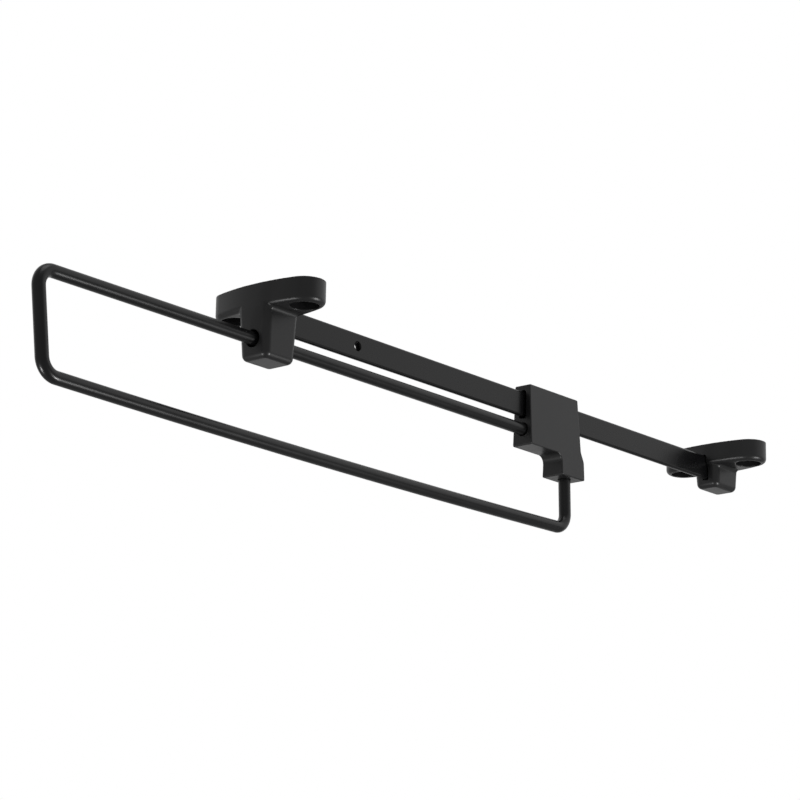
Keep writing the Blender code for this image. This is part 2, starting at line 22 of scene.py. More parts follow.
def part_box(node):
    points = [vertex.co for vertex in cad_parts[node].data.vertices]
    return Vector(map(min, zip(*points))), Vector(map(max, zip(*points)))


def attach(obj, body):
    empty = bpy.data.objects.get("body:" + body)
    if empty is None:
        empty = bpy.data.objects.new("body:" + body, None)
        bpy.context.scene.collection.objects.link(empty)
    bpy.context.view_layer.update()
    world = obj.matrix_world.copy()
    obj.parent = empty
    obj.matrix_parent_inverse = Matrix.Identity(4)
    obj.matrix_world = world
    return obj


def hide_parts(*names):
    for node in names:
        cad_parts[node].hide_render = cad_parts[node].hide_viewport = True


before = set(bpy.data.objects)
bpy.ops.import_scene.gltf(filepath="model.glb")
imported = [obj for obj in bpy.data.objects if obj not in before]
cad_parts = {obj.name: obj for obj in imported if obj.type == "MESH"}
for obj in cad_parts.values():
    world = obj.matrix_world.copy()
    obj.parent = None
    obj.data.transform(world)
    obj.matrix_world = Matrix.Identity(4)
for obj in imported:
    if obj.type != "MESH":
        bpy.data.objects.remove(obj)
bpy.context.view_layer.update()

MM = 0.001
LOG = logging.getLogger("clothes_rail")
Array = np.ndarray
Material = bpy.types.Material
Node = bpy.types.Node
Object = bpy.types.Object
Socket = bpy.types.NodeSocket
Tree = bpy.types.NodeTree

# What every moulding and the pieces in it share
BAR_LOW, BAR_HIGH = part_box("guide_bar")
BAR_MID = (BAR_LOW + BAR_HIGH) / 2
LOOP_LOW, LOOP_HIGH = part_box("hanger_loop")
WIRE_RADIUS = (LOOP_HIGH.x - LOOP_LOW.x) / 2
WIRE_Z = LOOP_HIGH.z - WIRE_RADIUS
SEAT_GAP = 0.3 * MM  # around pieces that are pressed or pinned together
BAR_PINS = ("front_bar_pin", "rear_bar_pin")
LOOP_PINS = ("upper_loop_pin", "lower_loop_pin")
WAVE_FACTOR = 20  # by which the wave texture multiplies its scale
MIX_SHARE, MIX_ONE, MIX_OTHER, MIX_COLOUR = 0, 6, 7, 2  # a Mix node's sockets for colours


class Body(Enum):
    """The two bodies of the rail."""

    FRAME = "frame"
    CARRIAGE = "carriage"


class Slot(Enum):
    """The record's material slots."""

    MOULDING = "moulding"
    BAR_COAT = "bar_coat"
    WIRE_COAT = "wire_coat"
    GLIDE = "glide"
    PIN_STEEL = "pin_steel"


def linear(code: str) -> tuple[float, float, float, float]:
    """Turn an sRGB hex colour into linear values.

    Args:
        code: Colour such as "#1a1a1b".

    Returns:
        Linear red, green and blue, and full alpha.
    """
    shares = [int(code[start:start + 2], 16) / 255 for start in (1, 3, 5)]
    red, green, blue = (s / 12.92 if s <= 0.04045 else ((s + 0.055) / 1.055) ** 2.4 for s in shares)
    return red, green, blue, 1.0


def toward(bearing: float, height: float = 0.0) -> Vector:
    """Unit vector at a bearing from the front, -Y, towards +X, and at a height angle, in degrees."""
    turn, rise = math.radians(bearing), math.radians(height)
    return Vector((math.sin(turn) * math.cos(rise), -math.cos(turn) * math.cos(rise), math.sin(rise)))


def add_node(tree: Tree, kind: str, feeds: dict | None = None, **settings: object) -> Node:
    """Add a node with its settings, constants and links.

    Args:
        tree: Tree that takes the node.
        kind: Blender's name for the node type.
        feeds: Output socket or constant for each input, by the input's name or place.
        settings: Properties of the node itself.

    Returns:
        The new node.
    """
    node = tree.nodes.new(kind)
    for name, value in settings.items():
        setattr(node, name, value)
    for key, value in (feeds or {}).items():
        if isinstance(value, Socket):
            tree.links.new(value, node.inputs[key])
        else:
            node.inputs[key].default_value = value
    return node


@dataclass(frozen=True)
class Finish(ABC):
    """A surface: a material and how it was made."""

    name: str
    deep: str
    pale: str
    smooth: float
    rough: float
    index: float = 1.5  # of refraction
    metallic: float = 0.0
    sheen_range: tuple[float, float] = (0.0, 1.0)  # of the drift, from the smoothest to the roughest

    def material(self) -> Material:
        """Make the material.

        Returns:
            The material, with its colour, roughness and relief from nodes.
        """
        made = bpy.data.materials.new(self.name)
        made.use_nodes = True
        tree = made.node_tree
        shader = tree.nodes["Principled BSDF"]
        places = add_node(tree, "ShaderNodeTexCoord").outputs["Object"]
        drift = self.drift(tree, places)
        colour = add_node(tree, "ShaderNodeMix", {
            MIX_SHARE: drift, MIX_ONE: linear(self.deep), MIX_OTHER: linear(self.pale)}, data_type="RGBA")
        sheen = add_node(tree, "ShaderNodeMapRange", {
            "Value": drift, "From Min": self.sheen_range[0], "From Max": self.sheen_range[1],
            "To Min": self.smooth, "To Max": self.rough})
        tree.links.new(self.paint_edge_highlight(tree, colour.outputs[MIX_COLOUR]), shader.inputs["Base Color"])
        tree.links.new(sheen.outputs["Result"], shader.inputs["Roughness"])
        normal = self.skin(tree, places)
        if normal is not None:
            tree.links.new(normal, shader.inputs["Normal"])
        shader.inputs["IOR"].default_value = self.index
        shader.inputs["Metallic"].default_value = self.metallic
        return made

    @abstractmethod
    def drift(self, tree: Tree, places: Socket) -> Socket:
        """Add the slow drift in colour and gloss.

        Args:
            tree: The material's tree.
            places: Object coordinates.

        Returns:
            The drift's level.
        """

    def paint_edge_highlight(self, tree: Tree, colour: Socket) -> Socket:
        """Leave the colour as it is, where no highlight is painted on the edges."""
        return colour

    def skin(self, tree: Tree, places: Socket) -> Socket | None:
        """Leave the surface plain, where nothing marks it."""
        return None


@dataclass(frozen=True)
class MouldedNylon(Finish):
    """Black glass-filled nylon, injection moulded in a spark-eroded tool.

    It gives the eye a dense satin black with a fine even grain, faintly cloudy where glass lies near the
    skin, and its convex edges carry a painted highlight that makes them a little paler.
    """

    index: float = 1.46
    sheen_range: tuple[float, float] = (0.3, 0.7)
    cloud: float = 16 * MM  # flow marks
    grain: float = 0.55 * MM  # real spark grain is about 0.1 mm, drawn coarser so that it shows
    relief: float = 0.006 * MM
    # Painted highlight: convex edges are mixed towards this paler colour, standing in for the light caught on
    # them
    edge: str = "#222223"
    edge_range: tuple[float, float] = (0.52, 0.66)  # of pointiness, from no painted edge highlight to the full one
    edge_share: float = 0.6

    def drift(self, tree: Tree, places: Socket) -> Socket:
        """Add clouds."""
        feeds = {"Vector": places, "Scale": 1 / self.cloud, "Detail": 4.0}
        return add_node(tree, "ShaderNodeTexNoise", feeds).outputs["Fac"]

    def paint_edge_highlight(self, tree: Tree, colour: Socket) -> Socket:
        """Paint a highlight on the convex edges by mixing them paler.

        Args:
            tree: The material's tree.
            colour: The plain colour.

        Returns:
            The colour with its painted edge highlight.
        """
        # Painted highlight along the convex edges, found from pointiness
        bend = add_node(tree, "ShaderNodeNewGeometry").outputs["Pointiness"]
        highlight_share = add_node(tree, "ShaderNodeMapRange", {
            "Value": bend, "From Min": self.edge_range[0], "From Max": self.edge_range[1],
            "To Max": self.edge_share})
        highlit_colour = add_node(tree, "ShaderNodeMix", {
            MIX_SHARE: highlight_share.outputs["Result"], MIX_ONE: colour, MIX_OTHER: linear(self.edge)},
            data_type="RGBA")
        return highlit_colour.outputs[MIX_COLOUR]

    def skin(self, tree: Tree, places: Socket) -> Socket:
        """Add spark grain.

        Args:
            tree: The material's tree.
            places: Object coordinates.

        Returns:
            The normal with its grain.
        """
        grain = add_node(tree, "ShaderNodeTexNoise", {
            "Vector": places, "Scale": 1 / self.grain, "Detail": 2.0})
        relief = add_node(tree, "ShaderNodeBump", {
            "Height": grain.outputs["Fac"], "Distance": self.relief})
        return relief.outputs["Normal"]


@dataclass(frozen=True)
class PowderCoat(Finish):
    """Black polyester powder, sprayed on steel and baked.

    It gives the eye an even black skin whose gloss is broken by low, soft orange peel, with a few finer
    specks of powder in it.
    """

    index: float = 1.42
    sheen_range: tuple[float, float] = (0.3, 0.7)
    cloud: float = 20.4 * MM  # spraying passes
    peel: float = 1.7 * MM
    peel_relief: float = 0.004 * MM
    speck: float = 0.5 * MM  # powder grains are under 0.1 mm, drawn coarser so that they show
    speck_relief: float = 0.0015 * MM

    def drift(self, tree: Tree, places: Socket) -> Socket:
        """Add a drift in gloss."""
        feeds = {"Vector": places, "Scale": 1 / self.cloud, "Detail": 3.0}
        return add_node(tree, "ShaderNodeTexNoise", feeds).outputs["Fac"]

    def skin(self, tree: Tree, places: Socket) -> Socket:
        """Add orange peel, and specks over it.

        Args:
            tree: The material's tree.
            places: Object coordinates.

        Returns:
            The normal with its peel and specks.
        """
        peel = add_node(tree, "ShaderNodeTexNoise", {
            "Vector": places, "Scale": 1 / self.peel, "Detail": 1.0})
        specks = add_node(tree, "ShaderNodeTexNoise", {
            "Vector": places, "Scale": 1 / self.speck, "Detail": 2.0})
        low = add_node(tree, "ShaderNodeBump", {
            "Height": peel.outputs["Fac"], "Distance": self.peel_relief})
        high = add_node(tree, "ShaderNodeBump", {
            "Height": specks.outputs["Fac"], "Distance": self.speck_relief,
            "Normal": low.outputs["Normal"]})
        return high.outputs["Normal"]


@dataclass(frozen=True)
class TurnedAcetal(Finish):
    """Black acetal, cut from rod and bar.

    It gives the eye a deep, waxy black with faint, even tool lines across the way it was cut.
    """

    index: float = 1.48
    cloud: float = 6 * MM
    tool_line: float = 0.6 * MM  # real feed is about 0.1 mm, drawn coarser so that it shows
    wobble: float = 0.6
    relief: float = 0.003 * MM

    def drift(self, tree: Tree, places: Socket) -> Socket:
        """Add a waxy drift in gloss."""
        feeds = {"Vector": places, "Scale": 1 / self.cloud, "Detail": 2.0}
        return add_node(tree, "ShaderNodeTexNoise", feeds).outputs["Fac"]

    def skin(self, tree: Tree, places: Socket) -> Socket:
        """Add tool lines across the length.

        Args:
            tree: The material's tree.
            places: Object coordinates.

        Returns:
            The normal with its tool lines.
        """
        scale = math.tau / WAVE_FACTOR / self.tool_line
        lines = add_node(tree, "ShaderNodeTexWave", {
            "Vector": places, "Scale": scale, "Distortion": self.wobble}, bands_direction="Y")
        relief = add_node(tree, "ShaderNodeBump", {
            "Height": lines.outputs["Fac"], "Distance": self.relief})
        return relief.outputs["Normal"]


@dataclass(frozen=True)
class ZincPlate(Finish):
    """Bright zinc plate on drawn steel pins.

    It gives the eye a cool pale metal with fine streaks along the drawing and a slight bluish drift.
    """

    metallic: float = 1.0
    streak: float = 0.35 * MM
    run: float = 6 * MM

    def drift(self, tree: Tree, places: Socket) -> Socket:
        """Add streaks along X, which carry the drift in colour.

        Args:
            tree: The material's tree.
            places: Object coordinates.

        Returns:
            The streaks' level.
        """
        stretched = add_node(tree, "ShaderNodeMapping", {
            "Vector": places, "Scale": (1 / self.run, 1 / self.streak, 1 / self.streak)})
        streaks = add_node(tree, "ShaderNodeTexNoise", {
            "Vector": stretched.outputs["Vector"], "Scale": 1.0, "Detail": 3.0})
        return streaks.outputs["Fac"]


FINISHES: dict[Slot, Finish] = {
    Slot.MOULDING: MouldedNylon("black_moulded_nylon", "#0e0e0f", "#141415", smooth=0.35, rough=0.4),
    Slot.BAR_COAT: PowderCoat(
        "satin_black_powder_coat", "#060607", "#09090a", smooth=0.24, rough=0.3, index=1.38),
    Slot.WIRE_COAT: PowderCoat("semi_gloss_black_powder_coat", "#070708", "#0b0b0c", smooth=0.27, rough=0.32),
    Slot.GLIDE: TurnedAcetal("black_turned_acetal", "#0e0e0f", "#141414", smooth=0.3, rough=0.42),
    Slot.PIN_STEEL: ZincPlate("bright_zinc_plate", "#a9adb2", "#c9ccce", smooth=0.24, rough=0.4),
}


def round_and(one: Array, other: Array, radius: float | Array) -> Array:
    """Distance to what two shapes share, with a rounded edge where they meet.

    Args:
        one: Distances to the first shape.
        other: Distances to the second shape.
        radius: Radius of the edge.

    Returns:
        Distances to the shape that both cover.
    """
    reach = np.hypot(np.maximum(one + radius, 0), np.maximum(other + radius, 0))
    return np.minimum(np.maximum(one, other), -radius) + reach


def round_or(one: Array, other: Array, radius: float | Array) -> Array:
    """Distance to two joined shapes, with a fillet where they meet."""
    return -round_and(-one, -other, radius)


def new_object(name: str, shape: bpy.types.Mesh) -> Object:
    """Put a mesh in the scene as an object at the origin.

    Args:
        name: Name of the new object.
        shape: Its mesh.

    Returns:
        The new object.
    """
    item = bpy.data.objects.new(name, shape)
    bpy.context.scene.collection.objects.link(item)
    return item


def keep_mesh(name: str, shape: bmesh.types.BMesh) -> Object:
    """Turn a finished bmesh into an object.

    Args:
        name: Name of the new object.
        shape: The bmesh, which is freed.

    Returns:
        The new object.
    """
    mesh = bpy.data.meshes.new(name)
    shape.to_mesh(mesh)
    shape.free()
    return new_object(name, mesh)


def shade(item: Object, sharp: float) -> None:
    """Shade a piece smooth, apart from edges over an angle in degrees."""
    item.data.shade_smooth()
    item.data.set_sharp_from_angle(angle=math.radians(sharp))


@dataclass(kw_only=True)
class Moulding(ABC):
    """A shape described by its distance field, negative inside, and meshed in small even squares."""

    node: str
    made: str = "moulding"  # how it was made, for the piece's name
    cell: float = 0.4 * MM
    margin: float = 1.5  # cells from the node's box out to the grid's edge
    settle_steps: int = 4
    slope_parts: int = 20  # of a cell, one of which is stepped to each side to read a slope
    least_rise: float = 0.25  # keeps points from leaping where the field is flat
    least_length: float = 1e-9

    @abstractmethod
    def distance(self, x: Array, y: Array, z: Array) -> Array:
        """Distance to the surface.

        Args:
            x: Places along X.
            y: Places along Y.
            z: Places along Z.

        Returns:
            Distances, negative inside.
        """

    def slope(self, places: Array) -> Array:
        """Direction in which the distance grows.

        Args:
            places: Points, one in each row.

        Returns:
            The field's gradient at each point.
        """
        step = self.cell / self.slope_parts
        rows = []
        for axis in np.eye(3) * step:
            rows.append(self.distance(*(places + axis).T) - self.distance(*(places - axis).T))
        return np.stack(rows, axis=1) / (2 * step)

    def build(self) -> Object:
        """Mesh the surface in its node's box.

        Returns:
            A closed mesh object whose points lie on the surface, with normals read from the field.
        """
        low, high = (np.array(corner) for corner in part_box(self.node))
        start = low - self.margin * self.cell
        counts = np.ceil((high - low) / self.cell).astype(int) + int(2 * self.margin) + 1
        axes = [start[axis] + self.cell * np.arange(counts[axis]) for axis in range(3)]
        value = self.distance(*np.meshgrid(*axes, indexing="ij"))
        inside = value < 0

        corners = np.array(list(product((0, 1), repeat=3)))
        cut = sum(inside[tuple(slice(c, n - 1 + c) for c, n in zip(corner, counts))].astype(int)
                  for corner in corners)
        crossed = np.argwhere((cut > 0) & (cut < len(corners)))
        number = np.full(counts - 1, -1)
        number[tuple(crossed.T)] = np.arange(len(crossed))

        values = np.stack([value[tuple((crossed + corner).T)] for corner in corners], axis=1)
        places = start + self.cell * (crossed + self.middles(corners, values))
        for _ in range(self.settle_steps):
            rise = self.slope(places)
            pull = self.distance(*places.T) / np.maximum((rise ** 2).sum(axis=1), self.least_rise)
            places -= np.clip(pull, -self.cell / 2, self.cell / 2)[:, None] * rise

        name = f"{self.node}_{self.made}"
        shape = bpy.data.meshes.new(name)
        shape.from_pydata(places.tolist(), [], self.squares(inside, number).tolist())
        shape.shade_smooth()
        rise = self.slope(places)
        rise /= np.maximum(np.linalg.norm(rise, axis=1, keepdims=True), self.least_length)
        shape.normals_split_custom_set_from_vertices(rise.tolist())
        return new_object(name, shape)

    @staticmethod
    def middles(corners: Array, values: Array) -> Array:
        """Middle of the points at which the surface crosses each cell's edges.

        Args:
            corners: The eight corners of a cell.
            values: Distances at each cell's corners.

        Returns:
            One point for each cell, in shares of the cell.
        """
        total, hits = np.zeros((len(values), 3)), np.zeros((len(values), 1))
        for one, other in combinations(range(len(corners)), 2):
            if np.abs(corners[one] - corners[other]).sum() == 1:
                first, last = values[:, one], values[:, other]
                met = (first < 0) != (last < 0)
                share = np.where(met, first / np.where(met, first - last, 1), 0)[:, None]
                total += met[:, None] * (corners[one] + share * (corners[other] - corners[one]))
                hits += met[:, None]
        return total / hits

    @staticmethod
    def squares(inside: Array, number: Array) -> Array:
        """Join the points of neighbouring cells round each crossed grid edge.

        Args:
            inside: Whether each grid point is inside the shape.
            number: Number of each crossed cell's point.

        Returns:
            Rows of four point numbers, facing outwards.
        """
        rows = []
        for axis in range(3):
            lower, upper = (np.take(inside, range(first, inside.shape[axis] - 1 + first), axis)
                            for first in (0, 1))
            edges = np.argwhere(lower != upper)
            across, up = np.eye(3, dtype=int)[(axis + 1) % 3], np.eye(3, dtype=int)[(axis + 2) % 3]
            ring = np.stack([number[tuple((edges - shift).T)]
                             for shift in (across + up, up, 0 * up, across)], axis=1)
            leaves = lower[tuple(edges.T)]
            rows.append(np.where(leaves[:, None], ring, ring[:, ::-1]))
        return np.concatenate(rows)


@dataclass(frozen=True)
class CrossHole:
    """A round hole along X, open on the left-hand side and blind on the right."""

    y: float
    z: float
    radius: float
    end: float

    def distance(self, x: Array, y: Array, z: Array) -> Array:
        """Distance to the hole at places along X, Y and Z, negative inside it."""
        return np.maximum(np.hypot(y - self.y, z - self.z) - self.radius, x - self.end)


def pin_hole(node: str) -> CrossHole:
    """The hole that a cross pin sits in.

    Args:
        node: CAD node of the pin.

    Returns:
        The hole, a little wider and deeper than the pin.
    """
    low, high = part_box(node)
    radius = (high.z - low.z) / 2 + SEAT_GAP
    return CrossHole((low.y + high.y) / 2, (low.z + high.z) / 2, radius, high.x + SEAT_GAP)


@dataclass(kw_only=True)
class Bracket(Moulding):
    """A lens-shaped flange with two screw recesses, and a drafted block that holds the bar's end."""

    screw_line: float
    foot_z: float
    foot_half_width: float
    block_front: float
    front_draft: float
    block_back: float
    back_draft: float
    pin: str
    screw_pitch: float = 50 * MM
    screw_hole: float = 5 * MM
    recess_radius: float = 8.1 * MM
    recess_roof: float = 4 * MM
    recess_corner: float = 0.8 * MM
    flange_height: float = 13.6 * MM
    end_radius: float = 11.5 * MM
    half_depth: float = 14.5 * MM
    edge_radius: float = 3 * MM
    top_ease: float = 0.2 * MM
    side_draft: float = math.radians(3.3)
    corner_radius: float = 3.8 * MM
    foot_radius: float = 3.25 * MM
    cove_radius: float = 2.6 * MM
    cove_fade: float = 3 * MM
    lip: float = 0.4 * MM
    hole_lip: float = 0.25 * MM

    def bow(self) -> float:
        """Radius of the flange's bowed long sides."""
        bulge = self.half_depth - self.end_radius
        return ((self.screw_pitch / 2) ** 2 + self.half_depth ** 2 - self.end_radius ** 2) / (2 * bulge)

    def flange(self, x: Array, y: Array, z: Array) -> Array:
        """Distance to the flange, measured from its screw line.

        Args:
            x: Places along X.
            y: Places along Y.
            z: Places along Z.

        Returns:
            Distances, negative inside.
        """
        across, along = np.abs(x), np.abs(y)
        half_pitch = self.screw_pitch / 2
        centre = self.bow() - self.half_depth
        side = np.hypot(across, along + centre) - self.bow()
        end = np.hypot(across - half_pitch, along) - self.end_radius
        plan = np.where((along + centre) * half_pitch < centre * across, end, side)
        return round_and(round_and(plan, -self.flange_height - z, self.edge_radius), z, self.top_ease)

    def block(self, x: Array, y: Array, z: Array) -> tuple[Array, Array]:
        """Distance to the block, measured from its screw line.

        Args:
            x: Places along X.
            y: Places along Y.
            z: Places along Z.

        Returns:
            Distances to the block, and distances behind its two end faces.
        """
        drop = np.maximum(-self.flange_height - z, 0)
        width = self.foot_half_width + (z - self.foot_z) * math.tan(self.side_draft)
        front_face = self.block_front - drop * math.tan(self.front_draft)
        back_face = self.block_back - drop * math.tan(self.back_draft)
        front = np.hypot(x, y - (self.bow() - front_face)) - self.bow()
        ends = np.maximum(front, y - back_face)
        walls = round_and((np.abs(x) - width) * math.cos(self.side_draft), ends, self.corner_radius)
        body = round_and(walls, self.foot_z - z, self.foot_radius)
        return np.maximum(body, z + self.flange_height / 2), -ends

    def bar_seat(self, x: Array, y: Array, z: Array) -> Array:
        """Distance to the blind seat for the bar's end.

        Args:
            x: Places along X.
            y: Places along Y.
            z: Places along Z.

        Returns:
            Distances, negative inside the seat.
        """
        beside = np.abs(x) - (BAR_HIGH.x + SEAT_GAP)
        above = np.abs(z - BAR_MID.z) - (BAR_HIGH.z - BAR_MID.z + SEAT_GAP)
        ahead = np.abs(y - BAR_MID.y) - (BAR_HIGH.y - BAR_MID.y + SEAT_GAP)
        return np.maximum(np.maximum(beside, above), ahead)

    def distance(self, x: Array, y: Array, z: Array) -> Array:
        """Distance to the whole bracket.

        Args:
            x: Places along X.
            y: Places along Y.
            z: Places along Z.

        Returns:
            Distances, negative inside.
        """
        along = y - self.screw_line
        block, depth = self.block(x, along, z)
        cove = self.cove_radius * np.clip(depth / self.cove_fade, 0, 1)
        body = round_or(self.flange(x, along, z), block, cove)
        for side in (-1, 1):
            axis = np.hypot(x - side * self.screw_pitch / 2, along)
            recess = round_and(axis - self.recess_radius, z + self.recess_roof, self.recess_corner)
            body = round_and(body, -recess, self.lip)
            body = round_and(body, self.screw_hole / 2 - axis, self.hole_lip)
        body = round_and(body, -self.bar_seat(x, y, z), self.hole_lip)
        return round_and(body, -pin_hole(self.pin).distance(x, y, z), self.hole_lip)


@dataclass(kw_only=True)
class WireBracket(Bracket):
    """The front bracket, which also lets the upper wire through a bore with a bush behind it."""

    bore_radius: float = 4.8 * MM
    bore_lip: float = 0.5 * MM

    def distance(self, x: Array, y: Array, z: Array) -> Array:
        """Distance to the whole bracket with its stepped bore.

        Args:
            x: Places along X.
            y: Places along Y.
            z: Places along Z.

        Returns:
            Distances, negative inside.
        """
        low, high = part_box("rod_bush")
        axis = np.hypot(x, z - WIRE_Z)
        mouth = np.maximum(axis - self.bore_radius, y - high.y)
        seat = np.maximum(axis - (high.x + SEAT_GAP), low.y - SEAT_GAP - y)
        body = round_and(super().distance(x, y, z), -mouth, self.bore_lip)
        return round_and(body, -seat, self.hole_lip)


@dataclass
class SliderBody(Moulding):
    """The moulded slider: a body round the bar and the upper wire's end, with a leg at its rear."""

    node: str = "slider_body"
    leg_y: float = 266 * MM
    reach: float = 41.8 * MM
    back_top: float = 5.8 * MM
    back_low: float = 7.6 * MM
    top_rise: float = 0.3 * MM  # over the solid's top
    foot_drop: float = 0.45 * MM  # under the solid's foot
    body_drop: float = 25.2 * MM  # below the bar's centre line
    step_rise: float = 6 * MM
    step_height: float = 8.5 * MM
    leg_front: float = 11.9 * MM
    leg_rear: float = 10.4 * MM
    top_half_width: float = 5.7 * MM
    foot_half_width: float = 7.75 * MM
    edge_radius: float = 0.9 * MM
    side_ease: float = 0.6 * MM
    leg_fillet: float = 5 * MM
    mouth_gap: float = 0.9 * MM
    mouth_end: float = 5 * MM  # behind the leg's axis
    mouth_corner: float = 1.4 * MM
    slot_lip: float = 0.35 * MM
    upper_socket: float = 24 * MM
    lower_socket: float = 20 * MM

    def side_outline(self, y: Array, z: Array, top: float, foot: float) -> Array:
        """Distance to the slider's outline as seen from the side.

        Args:
            y: Places along Y from the leg's axis.
            z: Places along Z from the bar's centre line.
            top: Height of its upper face.
            foot: Height of the leg's foot.

        Returns:
            Distances, negative inside.
        """
        step_top = self.step_rise - self.body_drop
        upper = np.clip((top - z) / (top - step_top), 0, 1)
        lower = np.clip((step_top - z) / self.step_height, 0, 1)
        swell = lower * lower * (3 - 2 * lower)  # a smooth step
        rear = self.back_top + upper * (self.back_low - self.back_top)
        rear = rear + swell * (self.leg_rear - self.back_low)
        ends = np.maximum(-self.reach - y, y - rear)
        whole = round_and(ends, np.maximum(z - top, foot - z), self.edge_radius)
        kept = round_or(-self.leg_front - y, -self.body_drop - z, self.leg_fillet)
        return round_and(whole, kept, self.edge_radius)

    def distance(self, x: Array, y: Array, z: Array) -> Array:
        """Distance to the slider.

        Args:
            x: Places along X.
            y: Places along Y.
            z: Places along Z.

        Returns:
            Distances, negative inside.
        """
        low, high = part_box(self.node)
        along, above = y - self.leg_y, z - BAR_MID.z
        share = np.clip((high.z - z) / (high.z - low.z), 0, 1)
        width = self.top_half_width + share * (self.foot_half_width - self.top_half_width)
        outline = self.side_outline(along, above, high.z + self.top_rise - BAR_MID.z,
                                    low.z - self.foot_drop - BAR_MID.z)
        body = round_and(outline, np.abs(x) - width, self.side_ease)

        seat_low, seat_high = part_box("glide_sleeve")
        mouth = round_and(np.abs(x) - BAR_HIGH.x - self.mouth_gap,
                          np.abs(above) - (BAR_HIGH.z - BAR_MID.z) - self.mouth_gap, self.mouth_corner)
        mouth = np.maximum(mouth, along - self.mouth_end)
        seat = np.maximum(np.abs(x) - seat_high.x, np.abs(above) - (seat_high.z - BAR_MID.z)) - SEAT_GAP
        seat = np.maximum(seat, seat_low.y - SEAT_GAP - y)
        socket = WIRE_RADIUS + SEAT_GAP
        upper = np.maximum(np.hypot(x, z - WIRE_Z) - socket, along + self.reach - self.upper_socket)
        lower = np.maximum(np.hypot(x, along) - socket, z - low.z - self.lower_socket)
        pins = [pin_hole(node).distance(x, y, z) for node in LOOP_PINS]
        for hollow in (mouth, seat, upper, lower, *pins):
            body = round_and(body, -hollow, self.slot_lip)
        return body


@dataclass
class RodBush(Moulding):
    """A turned bush with eased ends, in which the upper wire runs."""

    node: str = "rod_bush"
    made: str = "turned"
    run_gap: float = 0.35 * MM
    ease: float = 0.4 * MM
    cell: float = 0.3 * MM

    def distance(self, x: Array, y: Array, z: Array) -> Array:
        """Distance to the bush.

        Args:
            x: Places along X.
            y: Places along Y.
            z: Places along Z.

        Returns:
            Distances, negative inside.
        """
        low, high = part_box(self.node)
        axis = np.hypot(x, z - WIRE_Z)
        ends = np.abs(y - (low.y + high.y) / 2) - (high.y - low.y) / 2
        wall = np.maximum(axis - high.x, WIRE_RADIUS + self.run_gap - axis)
        return round_and(wall, ends, self.ease)


@dataclass
class GlideSleeve(Moulding):
    """A sleeve round the bar with eased edges, on which the slider runs."""

    node: str = "glide_sleeve"
    made: str = "cut"
    run_gap: float = 0.35 * MM
    ease: float = 0.35 * MM
    cell: float = 0.35 * MM

    def distance(self, x: Array, y: Array, z: Array) -> Array:
        """Distance to the sleeve.

        Args:
            x: Places along X.
            y: Places along Y.
            z: Places along Z.

        Returns:
            Distances, negative inside.
        """
        low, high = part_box(self.node)
        above = np.abs(z - BAR_MID.z)
        ends = np.abs(y - (low.y + high.y) / 2) - (high.y - low.y) / 2
        outer = round_and(np.abs(x) - high.x, above - (high.z - BAR_MID.z), self.ease)
        inner = np.maximum(np.abs(x) - BAR_HIGH.x, above - (BAR_HIGH.z - BAR_MID.z)) - self.run_gap
        return round_and(np.maximum(outer, -inner), ends, self.ease)


def turned_cutter(name: str, profile: list[tuple[float, float]], y: float, z: float,
                  sides: int = 64) -> Object:
    """A closed turned shape along X, for cutting.

    Args:
        name: Name of the cutter.
        profile: Pairs of place along X and radius, from left to right.
        y: Place of its axis along Y.
        z: Place of its axis along Z.
        sides: Sides of the round.

    Returns:
        The cutter, which stays until it has cut.
    """
    shape = bmesh.new()
    # Turned half a side, so that no corner lies level with the corners of what is cut
    turns = [math.tau * (side + 0.5) / sides for side in range(sides)]
    rings = [[shape.verts.new((x, y + radius * math.cos(turn), z + radius * math.sin(turn)))
              for turn in turns] for x, radius in profile]
    for left, right in zip(rings, rings[1:]):
        for side in range(sides):
            after = (side + 1) % sides
            shape.faces.new((left[side], left[after], right[after], right[side]))
    shape.faces.new(reversed(rings[0]))
    shape.faces.new(rings[-1])
    bmesh.ops.recalc_face_normals(shape, faces=shape.faces)
    return keep_mesh(name, shape)


def pin_cutters(nodes: tuple[str, ...], far: float) -> list[Object]:
    """Round cutters for the holes of cross pins.

    Args:
        nodes: CAD nodes of the pins.
        far: How far the cutters reach to both sides.

    Returns:
        The cutters, in the order of their nodes.
    """
    cutters = []
    for node in nodes:
        hole = pin_hole(node)
        profile = [(-far, hole.radius), (far, hole.radius)]
        cutters.append(turned_cutter(node + "_hole", profile, hole.y, hole.z))
    return cutters


def settle(item: Object) -> None:
    """Turn a piece and its modifiers into one plain mesh.

    Args:
        item: Piece to settle.
    """
    whole = item.evaluated_get(bpy.context.evaluated_depsgraph_get())
    shape = bpy.data.meshes.new_from_object(whole)
    item.modifiers.clear()
    item.data = shape


def cut(item: Object, cutters: list[Object]) -> None:
    """Cut shapes out of a piece and delete them.

    Args:
        item: Piece that is cut.
        cutters: Shapes to cut out of it.
    """
    for cutter in cutters:
        step = item.modifiers.new(cutter.name, "BOOLEAN")
        step.operation, step.solver, step.object = "DIFFERENCE", "EXACT", cutter
    settle(item)
    for cutter in cutters:
        bpy.data.objects.remove(cutter, do_unlink=True)


